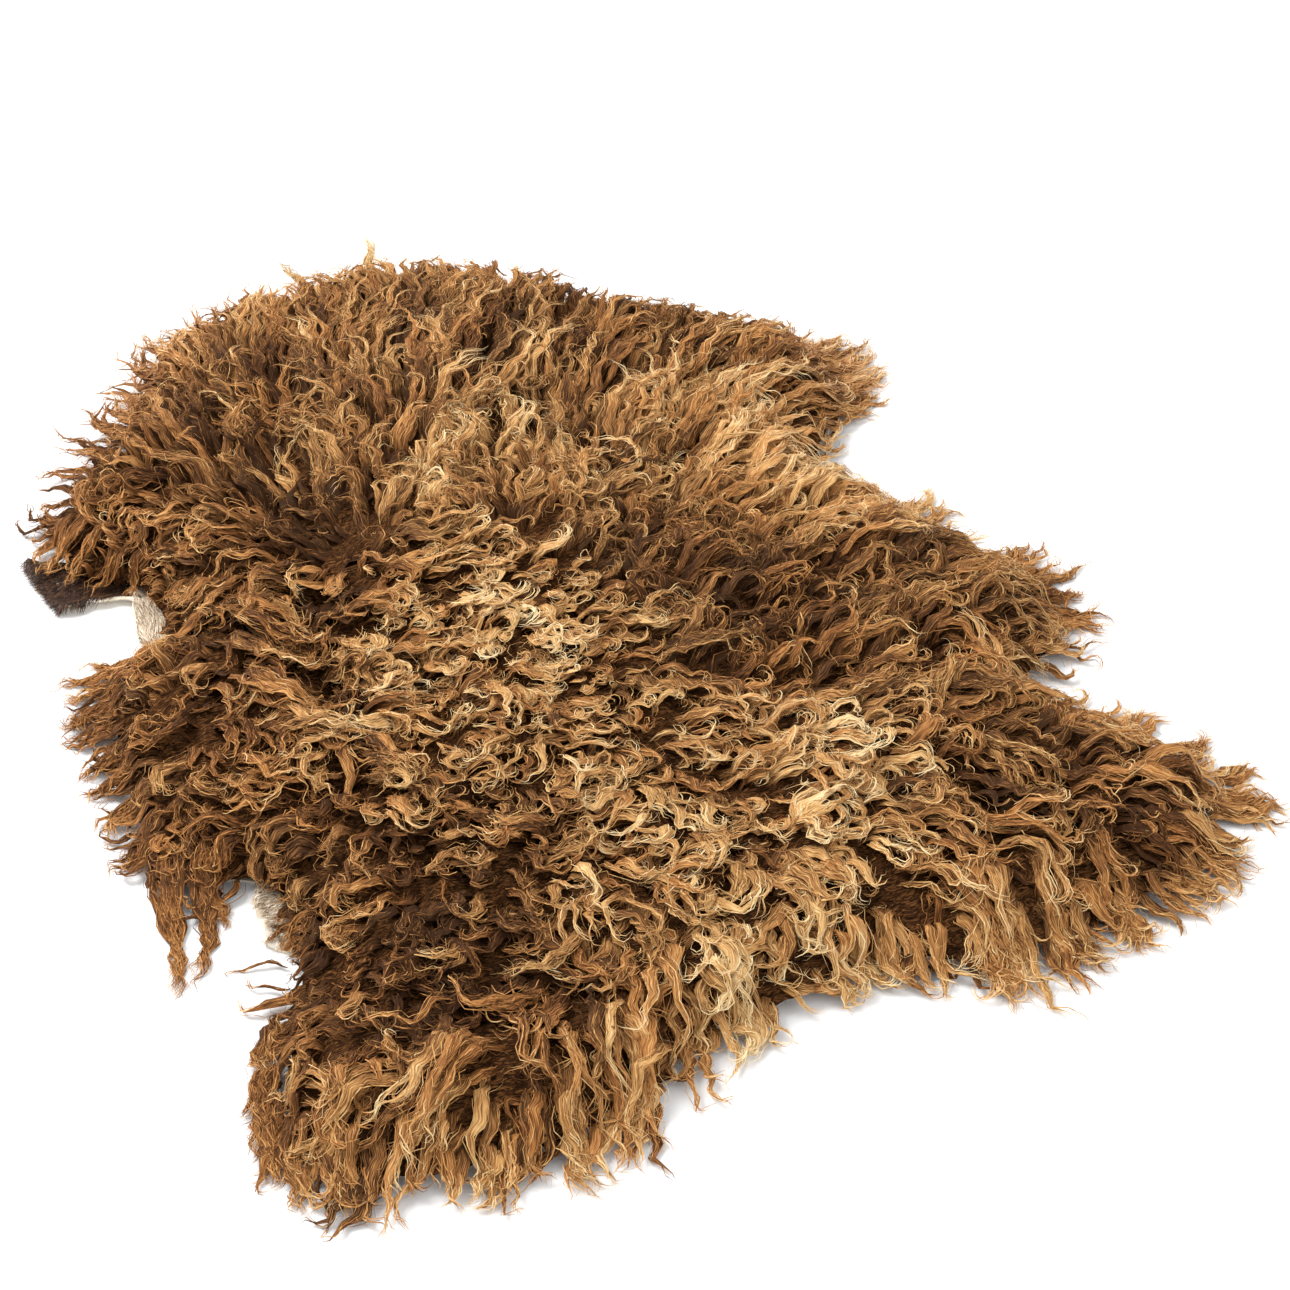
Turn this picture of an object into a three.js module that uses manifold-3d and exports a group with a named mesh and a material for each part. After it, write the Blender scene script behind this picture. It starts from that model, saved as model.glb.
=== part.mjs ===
// A long-woolled sheepskin lying flat, wool side up: the tanned hide and the fleece that grows on it.
// Millimetres, Z up. +Y is the neck end and +X the right-hand legs seen from above. The floor is z = 0.
import * as THREE from "three";
import { mergeVertices } from "three/addons/utils/BufferGeometryUtils.js";
import Module from "manifold-3d";

const wasm = await Module();
wasm.setup();

// Driving dimensions
const HIDE_THICKNESS = 2;
const GAP = 0.3;
const HIDE_INSET = 9; // the wool overhangs the cut edge of the hide by this much
const PILE_HEIGHT = 48; // wool above the hide, away from the rim
const RIM_HEIGHT = 15;
const RIM_WIDTH = 62; // the wool rises to its full height over this width
const TUFT_LENGTH = 30; // half sizes of the lumps that the locks make on top
const TUFT_WIDTH = 17;
const TUFT_RISE = 11;
const LOCK_SPACING = 25;
const LOCK_WIDTH = 20;
const LOCK_HEIGHT = 12;
const LOCK_ROOT_DEPTH = 15; // how far a rim lock runs back into the fleece
const LOCK_ROOT_LIFT = 8; // its underside there
const LOCK_LANDING = 21; // along the lock from its root to where it meets the floor, clear of the hide
const SHORTEST_LOCK = 14;
const FIELD = { left: -470, right: 470, near: -660, far: 660 };
const TOP_STEP = 19;
const CURL_STEP = 9;
const EDGE_POINTS_PER_ROW = 4;

function table(columns, rows) {
  const names = columns.split(" ");
  return rows.map((row) => Object.fromEntries(names.map((name, i) => [name, row[i]])));
}

// Edge of the wool, clockwise from the neck. reach is how far the locks hang out past it,
// and bare is how far the hide shows outside it.
const WOOL_EDGE = table("name x y reach bare", [
  ["crown", -12, 563, 54, 0],
  ["neck right", 93, 543, 46, 0],
  ["neck corner right", 150, 498, 40, 0],
  ["shoulder right", 223, 444, 44, 0],
  ["foreleg right upper", 313, 375, 40, 0],
  ["foreleg right tip", 365, 312, 44, 0],
  ["foreleg right lower", 346, 222, 36, 0],
  ["armpit right", 300, 158, 20, 0],
  ["waist right", 284, 112, 16, 0],
  ["flank right upper", 320, 62, 38, 0],
  ["flank right middle", 340, -30, 40, 0],
  ["flank right tip", 388, -112, 48, 0],
  ["flank right lower", 360, -186, 40, 0],
  ["groin right", 314, -236, 18, 0],
  ["hind leg right upper", 344, -292, 40, 0],
  ["hind leg right tip", 388, -372, 46, 0],
  ["hind leg right lower", 360, -448, 48, 0],
  ["rump right outer", 266, -488, 44, 0],
  ["rump right inner", 158, -502, 52, 0],
  ["tail notch", 70, -478, 22, 0],
  ["tail", 4, -492, 26, 0],
  ["rump left inner", -70, -506, 44, 0],
  ["rump left outer", -142, -548, 50, 0],
  ["hind leg left hem", -238, -562, 55, 0],
  ["hind leg left corner", -328, -540, 46, 0],
  ["hind leg left outer", -354, -474, 36, 0],
  ["hind leg left upper", -328, -396, 30, 0],
  ["groin left", -310, -338, 18, 0],
  ["groin left patch lower", -306, -304, 0, 27],
  ["groin left patch upper", -310, -264, 0, 26],
  ["groin left top", -330, -240, 8, 0],
  ["flank left lower", -380, -222, 40, 0],
  ["flank left", -392, -120, 38, 0],
  ["flank left upper", -388, -20, 38, 0],
  ["flank left corner", -374, 36, 34, 0],
  ["armpit left lower", -338, 56, 12, 4],
  ["armpit left patch", -326, 104, 0, 26],
  ["armpit left top", -336, 158, 0, 12],
  ["foreleg left lower", -384, 202, 8, 0],
  ["foreleg left tip", -390, 262, 34, 0],
  ["foreleg left upper", -354, 326, 42, 0],
  ["shoulder left", -300, 384, 36, 0],
  ["neck left lower", -276, 442, 34, 0],
  ["neck left", -240, 504, 36, 0],
  ["neck corner left", -142, 556, 48, 0],
]);

// The bare end of the left foreleg, which sticks out past the wool.
const LEG_FLAP = table("name x y", [
  ["root", -337, 176],
  ["inner corner", -345, 138],
  ["outer corner", -405, 143],
  ["outer side", -421, 190],
  ["tip", -424, 228],
  ["upper side", -400, 226],
]);

// Edges of the hide that curl up off the floor. width is how far in the curl begins.
const CURLS = table("name x1 y1 x2 y2 width rise", [
  ["leg flap front", -345, 137, -406, 142, 17, 15],
  ["leg flap tip", -423, 206, -425, 230, 20, 8],
  ["groin left edge", -337, -262, -333, -306, 16, 9],
  ["armpit left edge", -354, 120, -352, 80, 12, 4],
]);

// Which way the locks lie: compass heading in degrees from +X, counterclockwise.
const LIE = table("name x y heading", [
  ["crown", -12, 540, 92],
  ["neck left", -212, 520, 128],
  ["neck right", 128, 500, 64],
  ["nape", 8, 360, 74],
  ["shoulder left", -302, 380, 142],
  ["foreleg left", -382, 270, 172],
  ["withers left", -152, 300, 104],
  ["withers right", 138, 330, 50],
  ["foreleg right", 348, 310, 22],
  ["ribs right", 198, 160, 42],
  ["flank right", 328, 20, 36],
  ["flank right tip", 383, -120, 4],
  ["belly right", 248, -90, 14],
  ["hind leg right upper", 358, -320, 22],
  ["hind leg right tip", 398, -400, -14],
  ["hind leg right lower", 348, -460, -62],
  ["rump right", 188, -460, -88],
  ["tail", 8, -470, -88],
  ["rump left", -122, -510, -84],
  ["hind leg left hem", -242, -530, -104],
  ["hind leg left corner", -337, -510, -138],
  ["hind leg left upper", -342, -410, 184],
  ["flank left lower", -362, -215, 214],
  ["flank left", -392, -60, 178],
  ["ribs left", -262, -90, -64],
  ["armpit left", -342, 40, 160],
  ["back", -62, -40, -70],
  ["loin", -52, -280, -98],
]);

// Ridges (rise above 0) and partings (rise below 0) in the wool, along straight runs.
const FOLDS = table("name x1 y1 x2 y2 width rise", [
  ["crown ridge", -2, 450, -12, 560, 45, 9],
  ["spine ridge", -22, 300, -52, -260, 80, 5],
  ["neck hollow", -70, 540, -58, 440, 26, -12],
  ["shoulder parting left", -188, 330, -197, 190, 30, -16],
  ["armpit parting left", -172, 150, -207, 40, 26, -13],
  ["rib parting left", -224, 20, -230, -130, 20, -11],
  ["flank ridge left", -282, 20, -254, -170, 26, 7],
  ["flank hollow left", -337, -205, -247, -205, 20, -12],
  ["shoulder parting right", 70, 300, 80, 170, 24, -12],
  ["neck parting right", 128, 400, 168, 340, 22, -10],
  ["rib parting right", 128, 60, 163, 190, 24, -9],
  ["flank parting right", 103, -60, 158, -130, 22, -8],
  ["flank roll right", 188, -70, 338, -60, 40, 7],
  ["haunch parting right", 113, -205, 228, -205, 26, -9],
  ["haunch hollow right", 223, -380, 348, -400, 26, -11],
  ["haunch hollow left", -202, -440, -122, -450, 26, -12],
  ["hem roll left", -322, -500, -192, -520, 30, 6],
  ["loin hollow", -142, -250, -82, -330, 24, -8],
]);

// Longer locks that stand out from the rim. bend turns the lock along its length, in degrees.
const LONG_LOCKS = table("name x y heading length width bend", [
  ["flank hanging lock outer", -380, -202, 268, 144, 15, -18],
  ["flank hanging lock middle", -363, -208, 272, 142, 14, -24],
  ["flank hanging lock inner", -349, -214, 270, 92, 12, 8],
  ["armpit curl", 284, 152, 8, 64, 9, -26],
  ["hind leg tail strand", -328, -518, 238, 88, 7, 30],
  ["flank curl", -360, 24, 140, 60, 7, 20],
]);

const edgeCurve = new THREE.CatmullRomCurve3(
  WOOL_EDGE.map((row) => new THREE.Vector3(row.x, row.y, 0)),
  true,
  "centripetal",
);

// A number from 0 to 1 that is fixed for each pair of numbers.
function vary(a, b) {
  const wave = Math.sin(a * 12.9898 + b * 78.233) * 43758.5453;
  return wave - Math.floor(wave);
}

// A point of the wool's edge with its outward normal, its reach and its bare width, for place from 0 to 1.
function edgeAt(place) {
  const row = place * WOOL_EDGE.length;
  const from = WOOL_EDGE[Math.floor(row) % WOOL_EDGE.length];
  const to = WOOL_EDGE[(Math.floor(row) + 1) % WOOL_EDGE.length];
  const share = THREE.MathUtils.smoothstep(row - Math.floor(row), 0, 1);
  const point = edgeCurve.getPoint(place);
  const tangent = edgeCurve.getTangent(place);
  return {
    x: point.x,
    y: point.y,
    out: new THREE.Vector2(-tangent.y, tangent.x).normalize(),
    reach: THREE.MathUtils.lerp(from.reach, to.reach, share),
    bare: THREE.MathUtils.lerp(from.bare, to.bare, share),
  };
}

const edgeCount = WOOL_EDGE.length * EDGE_POINTS_PER_ROW;
const edge = Array.from({ length: edgeCount }, (_, i) => edgeAt(i / edgeCount));

function distanceToRun(x, y, run) {
  const dx = run.x2 - run.x1;
  const dy = run.y2 - run.y1;
  const along = ((x - run.x1) * dx + (y - run.y1) * dy) / (dx * dx + dy * dy);
  const share = THREE.MathUtils.clamp(along, 0, 1);
  return Math.hypot(x - run.x1 - share * dx, y - run.y1 - share * dy);
}

// Distance to the wool's edge, counted below 0 outside it.
function depthInWool(x, y) {
  let nearest = Infinity;
  let inside = false;
  for (let i = 0; i < edge.length; i += 1) {
    const a = edge[i];
    const b = edge[(i + 1) % edge.length];
    nearest = Math.min(nearest, distanceToRun(x, y, { x1: a.x, y1: a.y, x2: b.x, y2: b.y }));
    if (a.y > y !== b.y > y && x < a.x + ((y - a.y) / (b.y - a.y)) * (b.x - a.x)) {
      inside = !inside;
    }
  }
  return inside ? nearest : -nearest;
}

function headingAt(x, y) {
  const sum = new THREE.Vector2();
  for (const row of LIE) {
    const weight = 1 / ((x - row.x) ** 2 + (y - row.y) ** 2 + 900) ** 1.5;
    const angle = THREE.MathUtils.degToRad(row.heading);
    sum.x += weight * Math.cos(angle);
    sum.y += weight * Math.sin(angle);
  }
  return Math.atan2(sum.y, sum.x);
}

// The lumps on top, one for each group of locks, set out in staggered rows.
function makeTufts() {
  const tufts = [];
  const pitchX = TUFT_WIDTH * 2.1;
  const pitchY = TUFT_LENGTH * 1.35;
  for (let row = 0; FIELD.near + row * pitchY < FIELD.far; row += 1) {
    for (let column = 0; FIELD.left + column * pitchX < FIELD.right; column += 1) {
      const x = FIELD.left + (column + (row % 2) / 2 + 0.6 * vary(row, column)) * pitchX;
      const y = FIELD.near + (row + 0.6 * vary(column, row + 7)) * pitchY;
      const heading = headingAt(x, y);
      const rise = TUFT_RISE * (0.6 + 0.8 * vary(row + 3, column + 5));
      tufts.push({ x, y, cos: Math.cos(heading), sin: Math.sin(heading), rise });
    }
  }
  return tufts;
}

const tufts = makeTufts();

function tuftRise(x, y) {
  let best = 0;
  for (const tuft of tufts) {
    const along = ((x - tuft.x) * tuft.cos + (y - tuft.y) * tuft.sin) / TUFT_LENGTH;
    const across = ((y - tuft.y) * tuft.cos - (x - tuft.x) * tuft.sin) / TUFT_WIDTH;
    best = Math.max(best, tuft.rise * (1 - along * along - across * across));
  }
  return best;
}

function foldRise(x, y) {
  let rise = 0;
  for (const fold of FOLDS) {
    const away = distanceToRun(x, y, fold) / fold.width;
    rise += fold.rise * Math.exp(-away * away);
  }
  return rise;
}

function woolTop(x, y) {
  const rimShare = THREE.MathUtils.clamp(depthInWool(x, y) / RIM_WIDTH, 0, 1);
  const crown = Math.sin((rimShare * Math.PI) / 2);
  const pile = THREE.MathUtils.lerp(RIM_HEIGHT, PILE_HEIGHT, crown);
  const relief = (foldRise(x, y) + tuftRise(x, y)) * THREE.MathUtils.lerp(0.35, 1, crown);
  return HIDE_THICKNESS + GAP + pile + relief;
}

function hideUnderside(x, y) {
  let lift = 0;
  for (const curl of CURLS) {
    const share = 1 - distanceToRun(x, y, curl) / curl.width;
    if (share > 0) {
      lift = Math.max(lift, curl.rise * share ** 1.6);
    }
  }
  return lift;
}

function solidOf(geometry) {
  geometry.deleteAttribute("normal");
  geometry.deleteAttribute("uv");
  const merged = mergeVertices(geometry, 1e-4);
  return new wasm.Manifold(
    new wasm.Mesh({
      numProp: 3,
      vertProperties: new Float32Array(merged.attributes.position.array),
      triVerts: new Uint32Array(merged.index.array),
    }),
  );
}

function indexedGeometry(positions, indices) {
  const geometry = new THREE.BufferGeometry();
  geometry.setAttribute("position", new THREE.Float32BufferAttribute(positions, 3));
  geometry.setIndex(indices);
  return geometry;
}

function prism(points, bottom, top) {
  const shape = new THREE.Shape(points.map((point) => new THREE.Vector2(point.x, point.y)));
  const geometry = new THREE.ExtrudeGeometry(shape, { depth: top - bottom, bevelEnabled: false });
  return solidOf(geometry.translate(0, 0, bottom));
}

function spread(from, to, step) {
  const count = Math.ceil((to - from) / step);
  return Array.from({ length: count + 1 }, (_, i) => from + ((to - from) * i) / count);
}

const topGrid = {
  xs: spread(FIELD.left, FIELD.right, TOP_STEP),
  ys: spread(FIELD.near, FIELD.far, TOP_STEP),
};

// The hide is flat but for its curls, so only they need close steps.
const undersideGrid = {
  xs: [FIELD.left, ...spread(-434, -312, CURL_STEP), FIELD.right],
  ys: [FIELD.near, ...spread(-328, -240, CURL_STEP), ...spread(64, 256, CURL_STEP), FIELD.far],
};

// Everything below a surface, down to bottom, over the whole field.
function solidBelow(surface, bottom, { xs, ys }) {
  const positions = ys.flatMap((y) => xs.flatMap((x) => [x, y, surface(x, y)]));
  const indices = [];
  const at = (row, column) => row * xs.length + column;
  const [lastRow, lastColumn] = [ys.length - 1, xs.length - 1];
  for (let row = 0; row < lastRow; row += 1) {
    for (let column = 0; column < lastColumn; column += 1) {
      const [a, b] = [at(row, column), at(row, column + 1)];
      const [c, d] = [at(row + 1, column), at(row + 1, column + 1)];
      indices.push(...((row + column) % 2 ? [a, b, d, a, d, c] : [a, b, c, b, d, c]));
    }
  }
  const border = [
    ...xs.slice(1).map((_, i) => at(0, i)),
    ...ys.slice(1).map((_, i) => at(i, lastColumn)),
    ...xs.slice(1).map((_, i) => at(lastRow, lastColumn - i)),
    ...ys.slice(1).map((_, i) => at(lastRow - i, 0)),
  ];
  const firstLow = positions.length / 3;
  positions.push(...border.flatMap((i) => [positions[3 * i], positions[3 * i + 1], bottom]));
  const middle = positions.length / 3;
  positions.push(0, 0, bottom);
  border.forEach((high, i) => {
    const next = (i + 1) % border.length;
    const [low, nextLow] = [firstLow + i, firstLow + next];
    indices.push(high, low, nextLow, high, nextLow, border[next], low, middle, nextLow);
  });
  return solidOf(indexedGeometry(positions, indices));
}

// A four-sided tapering lock. It leaves the fleece above the hide, comes down past the hide's edge
// and lies level on the floor to its tip.
function lock({ x, y, heading, length, width, height, bend }) {
  const landing = Math.max(0.4, LOCK_LANDING / length);
  const stations = table("share width height lift", [
    [0, 1, 1, LOCK_ROOT_LIFT],
    [landing, 0.9, 0.92, 0],
    [(1 + landing) / 2, 0.56, 0.6, 0],
  ]);
  const positions = [];
  const indices = [];
  const centre = new THREE.Vector2(x, y);
  let turned = 0;
  for (const station of stations) {
    const angle = heading + bend * station.share;
    centre.x += Math.cos(angle) * length * (station.share - turned);
    centre.y += Math.sin(angle) * length * (station.share - turned);
    turned = station.share;
    const side = new THREE.Vector2(-Math.sin(angle), Math.cos(angle)).multiplyScalar(width * station.width);
    const top = station.lift + height * station.height;
    for (const [across, z] of [[-0.5, station.lift], [0.5, station.lift], [0.3, top], [-0.3, top]]) {
      positions.push(centre.x + side.x * across, centre.y + side.y * across, z);
    }
  }
  const tipAngle = heading + bend;
  const last = length * (1 - turned);
  positions.push(centre.x + Math.cos(tipAngle) * last, centre.y + Math.sin(tipAngle) * last, 0);
  for (let i = 0; i < 4; i += 1) {
    const next = (i + 1) % 4;
    for (const ring of [0, 4]) {
      indices.push(ring + i, ring + 4 + next, ring + 4 + i, ring + i, ring + next, ring + 4 + next);
    }
    indices.push(8 + i, 8 + next, 12);
  }
  indices.push(0, 2, 1, 0, 3, 2);
  return solidOf(indexedGeometry(positions, indices));
}

function rimLocks() {
  const locks = [];
  const count = Math.round(edgeCurve.getLength() / LOCK_SPACING);
  for (let i = 0; i < count; i += 1) {
    const place = edgeCurve.getUtoTmapping((i + 0.3 * vary(i, 1)) / count);
    const { x, y, out, reach, bare } = edgeAt(place);
    const length = reach * (0.72 + 0.36 * vary(i, 2));
    if (reach < SHORTEST_LOCK || bare > 0) continue;
    const lie = headingAt(x, y);
    const toward = new THREE.Vector2(Math.cos(lie), Math.sin(lie)).multiplyScalar(0.55).add(out);
    locks.push(lock({
      x: x - out.x * LOCK_ROOT_DEPTH,
      y: y - out.y * LOCK_ROOT_DEPTH,
      heading: Math.atan2(toward.y, toward.x),
      length: length + LOCK_ROOT_DEPTH,
      width: LOCK_WIDTH * (0.8 + 0.3 * vary(i, 3)),
      height: LOCK_HEIGHT * (0.8 + 0.4 * vary(i, 4)),
      bend: 0.5 * (vary(i, 5) - 0.5),
    }));
  }
  for (const row of LONG_LOCKS) {
    locks.push(lock({
      ...row,
      heading: THREE.MathUtils.degToRad(row.heading),
      bend: THREE.MathUtils.degToRad(row.bend),
      height: Math.min(LOCK_HEIGHT, row.width),
    }));
  }
  return locks;
}

function makeHide() {
  const outline = edge.map(({ x, y, out, bare }) => {
    const offset = bare > 0 ? bare - HIDE_INSET * (1 - Math.min(bare / HIDE_INSET, 1)) : -HIDE_INSET;
    return { x: x + out.x * offset, y: y + out.y * offset };
  });
  const top = solidBelow((x, y) => hideUnderside(x, y) + HIDE_THICKNESS, -20, undersideGrid);
  const under = solidBelow(hideUnderside, -30, undersideGrid);
  return prism(outline, -10, 60).add(prism(LEG_FLAP, -10, 60)).intersect(top).subtract(under);
}

function makeFleece() {
  const clearance = HIDE_THICKNESS + GAP;
  const under = solidBelow((x, y) => hideUnderside(x, y) + clearance, -30, undersideGrid);
  let fleece = prism(edge, -10, 160).intersect(solidBelow(woolTop, -20, topGrid)).subtract(under);
  for (const one of rimLocks()) fleece = fleece.add(one);
  return fleece;
}

function meshOf(name, solid, material) {
  const { numProp, vertProperties, triVerts } = solid.getMesh();
  const positions = [];
  for (let i = 0; i < vertProperties.length; i += numProp) {
    positions.push(vertProperties[i], vertProperties[i + 1], vertProperties[i + 2]);
  }
  const geometry = indexedGeometry(positions, Array.from(triVerts));
  geometry.computeVertexNormals();
  const mesh = new THREE.Mesh(geometry, material);
  mesh.name = name;
  return mesh;
}

const leather = new THREE.MeshStandardMaterial({ color: 0xd9c8a8, roughness: 0.85, metalness: 0 });
const wool = new THREE.MeshStandardMaterial({ color: 0x9a6a38, roughness: 1, metalness: 0 });

const sheepskin = new THREE.Group();
sheepskin.add(meshOf("hide", makeHide(), leather));
sheepskin.add(meshOf("fleece", makeFleece(), wool));

// The origin is under the middle of the whole sheepskin's box.
const box = new THREE.Box3().setFromObject(sheepskin);
const middle = box.getCenter(new THREE.Vector3());
sheepskin.position.set(-middle.x, -middle.y, 0);
sheepskin.updateMatrixWorld(true);

export default sheepskin;
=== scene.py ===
"""A long-woolled sheepskin lying flat: wool locks, under-wool, hide and short hair, made on the solids.

Lengths are in metres. Tables that say so are in millimetres, in the same frame: +Y is the neck end,
+X the right-hand legs seen from above, and z = 0 the floor.
"""
import math

import bmesh
import bpy
import numpy as np
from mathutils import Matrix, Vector
from mathutils.bvhtree import BVHTree
from mathutils.kdtree import KDTree

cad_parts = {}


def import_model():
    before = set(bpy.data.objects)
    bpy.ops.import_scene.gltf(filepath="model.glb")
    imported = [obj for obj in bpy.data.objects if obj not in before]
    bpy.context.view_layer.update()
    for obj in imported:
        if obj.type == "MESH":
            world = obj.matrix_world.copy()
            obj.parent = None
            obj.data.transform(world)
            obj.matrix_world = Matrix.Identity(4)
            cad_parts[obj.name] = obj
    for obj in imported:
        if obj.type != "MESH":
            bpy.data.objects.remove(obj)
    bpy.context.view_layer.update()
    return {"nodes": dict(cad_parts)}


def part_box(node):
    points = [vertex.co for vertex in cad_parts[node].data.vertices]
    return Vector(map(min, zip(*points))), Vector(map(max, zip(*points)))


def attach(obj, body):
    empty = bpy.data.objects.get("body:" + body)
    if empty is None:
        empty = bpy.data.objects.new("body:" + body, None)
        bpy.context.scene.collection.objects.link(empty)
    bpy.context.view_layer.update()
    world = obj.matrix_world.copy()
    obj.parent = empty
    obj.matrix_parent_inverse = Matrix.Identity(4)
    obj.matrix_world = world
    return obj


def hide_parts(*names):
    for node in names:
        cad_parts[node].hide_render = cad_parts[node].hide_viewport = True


MM = 0.001
SEED = 7

# Camera, light and floor
FRAME_PIXELS = 1290
FOCAL_PIXELS = 2400
SENSOR = 36.0
CAMERA_PLACE = (-0.5045, -1.5825, 1.2233)
CAMERA_AIM = (0.0508, -0.0570, 0.0)
LAMPS = [
    # name, place, size, power. They face the middle of the floor.
    ("key", (-1.6, 1.0, 2.6), 1.6, 100),
    ("fill", (1.2, -2.4, 2.4), 2.5, 25),
]
SKY_STRENGTH = 0.88
FLOOR_HALF = 15
FLOOR_DROP = 0.2 * MM

# The grid that the fleece solid is read on, and how its shapes are smoothed
CELL = 3 * MM
GRID_MARGIN = 45 * MM
ABOVE_ALL = 0.3  # where rays down onto the solids start
RIM_FOOT = 0.5 * MM  # the solid's outline is where it is this high
RIM_TOP = 15.5 * MM  # the pile's rim is where it is this high
RIM_BLUR = 4 * MM
RIM_GAP = 14 * MM  # half the widest gap between rim locks that counts as closed
DRAPE = 20 * MM  # how fast the surface falls away outside the rim
SURFACE_BLUR = 5 * MM
HOLLOW_BLUR = 36 * MM
HOLLOW_FULL = 9 * MM  # how far a full hollow lies below its surroundings
HOLLOW_DEPTH = 6 * MM  # how much deeper it is made
FLOOR_CLEARANCE = 1 * MM
LINE_CLEARANCE = 2.2 * MM  # for the middle of a staple
FULL_PILE = 30 * MM  # where the pile is lower than this, its layers draw together

# The wool grows in staples, bundles of strands that share a middle line. Staples lean together into
# tufts. A pair of values is for wool that lies and for wool that stands.
STAPLE_SPACING = 12.2 * MM
STAPLE_WIDTH = 9 * MM
TUFT_SPACING = 25 * MM
TUFT_PULL = (0.64, 0.5)  # how far a staple leans to the middle of its tuft
TUFT_ROUND = 4 * MM  # how much lower a tuft is at its edge
SCATTER = 0.42  # how far places stray from a staggered grid, as a share of its spacing
ROW_SPACING = 0.866  # of that grid, as a share too
STAPLE_LENGTH = (148 * MM, 66 * MM)
STAPLE_REACH = 0.82  # how far a staple reaches, as a share of its length
CURL_START = 0.62  # how far along a staple its end starts to curl
UNDERGROWTH = 0.2  # the share of staples that stay short and stand between the others
UNDERGROWTH_LENGTH = 50 * MM
ROOT_DEPTH = 26 * MM
TIP_LIFT = 6 * MM
NECK_LIFT = 40 * MM
CREST_LIFT = 108 * MM  # for the locks of LOCKS at the crown of the neck, past CREST_START in millimetres
CREST_START = 500
SOFT_CEILING = 68 * MM
CEILING = 83 * MM
FARTHEST = (456 * MM, 646 * MM)  # no staple goes farther, along x and along y
WAVE_LENGTH = 31 * MM
WAVE_SIZE = 2.8 * MM
CRIMP_LENGTH = (19 * MM, 12 * MM)
CRIMP_SIZE = 1.3 * MM
OWN_WAVE_LENGTH = 10 * MM  # the waves that each strand has for itself
CENTRE_STATIONS = 33
ROOM_STEP = 4 * MM
LONGEST_ROOM = 0.12
SHORTEST_ROOM = 12 * MM

# Each kind of strand: how many a staple has and the least share that a low staple keeps, points along
# it, where it starts and ends on the staple, how far out it lies in the bundle, its half width (None for
# the staple's body), how uneven it is, how much paler it is, and how many meshes hold the kind
CORE = {
    "name": "wool_core", "each": 1, "least": 1, "stations": 10, "start": (0.05, 0.2), "end": (0.9, 1.0),
    "outward": (0, 0), "half_width": None,
    "crimp": 0.3, "own_wave": 0, "frizz": 0, "stray": 0, "tip_curl": 0,
    "light": -0.02, "meshes": 2,
}
FINE = {
    "name": "wool_fine", "each": 3, "least": 0.6, "stations": 12, "start": (0.15, 0.5), "end": (0.82, 1.0),
    "outward": (0.75, 1.25), "half_width": 0.5 * MM,
    "crimp": 0.7, "own_wave": 0.4 * MM, "frizz": 0.35 * MM, "stray": 3 * MM, "tip_curl": 2 * MM,
    "light": 0.03, "meshes": 3,
}
TIP = {
    "name": "wool_tip", "each": 2, "least": 0.5, "stations": 14, "start": (0.5, 0.7), "end": (0.96, 1.04),
    "outward": (0.1, 0.9), "half_width": 0.55 * MM,
    "crimp": 1.4, "own_wave": 0.4 * MM, "frizz": 0.15 * MM, "stray": 1.5 * MM, "tip_curl": 2.2 * MM,
    "light": 0.08, "meshes": 2,
}
LOOSE = {
    "name": "wool_loose", "each": 1, "least": 0.7, "stations": 13, "start": (0.1, 0.6), "end": (0.92, 1.03),
    "outward": (1.2, 2.6), "half_width": 0.32 * MM,
    "crimp": 1.2, "own_wave": 1.2 * MM, "frizz": 0.45 * MM, "stray": 8 * MM, "tip_curl": 3.5 * MM,
    "light": 0.05, "meshes": 1,
}
CORE_ANGLES = (165, 90, 15)  # degrees round the staple's body, over its top
BUNDLE_FLATNESS = 0.72
TIP_CURL_START = 0.72

# How pale a point of the wool is, from its own colour and from painted light and shade. Pairs are where gold
# is rare and where it is common.
# Paler to the tip: partly the wool's own golden tips, partly painted shade on the deep roots
TONE_AT_ROOT = (0.19, 0.13)
TONE_TO_TIP = (0.34, 0.46)
TONE_OF_STAPLE = 0.36
TONE_OF_STRAND = 0.28
# Painted shade: strands deep inside or under a bundle are darker
PAINTED_SHADE_INSIDE = -0.2
# Painted shade: staples at the edge of a tuft are darker
PAINTED_SHADE_AT_TUFT_EDGE = -0.2
# Painted shade: wool in hollows of the pile is darker
PAINTED_SHADE_IN_HOLLOW = -0.4
# Painted light and shade: staples on top of a tuft are paler, low ones darker
PAINTED_LIGHT_ON_TOP = 0.3

# The dense wool between the locks, dark partly in its own colour and partly as painted shade in the gaps
UNDER_WOOL_DEPTH = 14 * MM
UNDER_WOOL_CELL = 6 * MM
UNDER_WOOL_RIM = -2 * MM
UNDER_WOOL_LUMPS = 2 * MM
UNDER_WOOL_LOWEST = 3 * MM

# The skin: the size of its faces, and how uneven it is
HIDE_CELL = 17 * MM
HIDE_EDGE_WANDER = 2.2 * MM
HIDE_UNEVEN = 0.8 * MM
LEG_FORWARD = 14 * MM  # how much nearer the neck the bare leg end lies than in the solid, and
LEG_FLATTENED = 0.35  # how much flatter

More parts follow.
